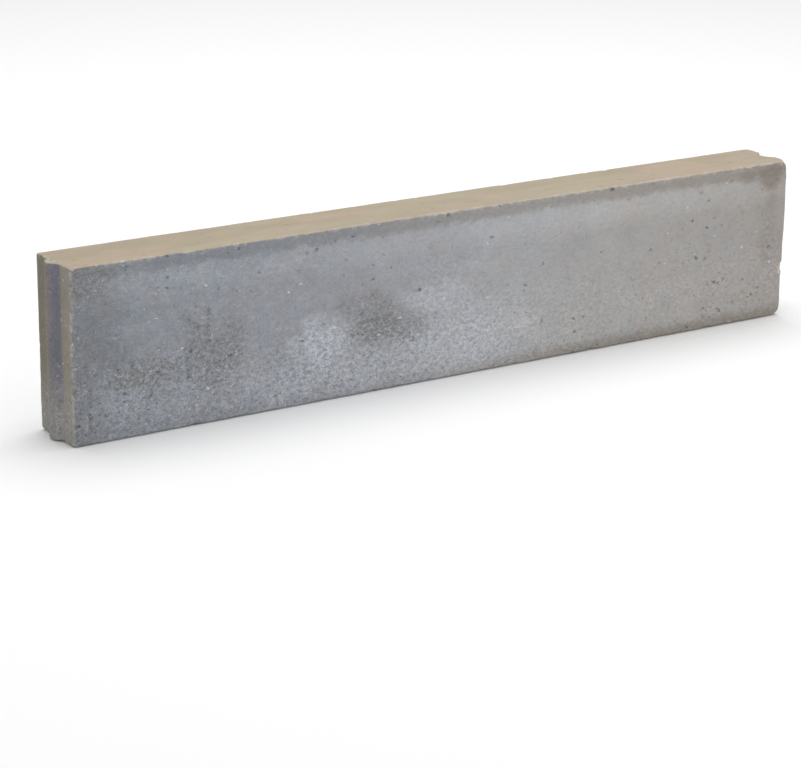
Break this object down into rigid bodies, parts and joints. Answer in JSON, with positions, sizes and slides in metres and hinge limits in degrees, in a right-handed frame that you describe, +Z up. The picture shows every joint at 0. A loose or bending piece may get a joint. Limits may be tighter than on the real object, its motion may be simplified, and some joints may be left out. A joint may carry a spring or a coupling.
{
  "type": "concrete kerb stone",
  "caption": "Precast concrete kerb stone standing on edge, with an upright tongue on one end and a matching groove on the other.",
  "frame": {"origin": "bottom centre of the whole stone, tongue included", "axes": "+X along the length, from the tongue end to the groove end; +Y through the thickness, from the front face to the back face; +Z up"},
  "size_m": [1.008, 0.08, 0.2],
  "materials": {
    "concrete": "matte, fine-pored, weathered"
  },
  "bodies": {
    "root": {"kerb_stone": "concrete"}
  },
  "joints": []
}
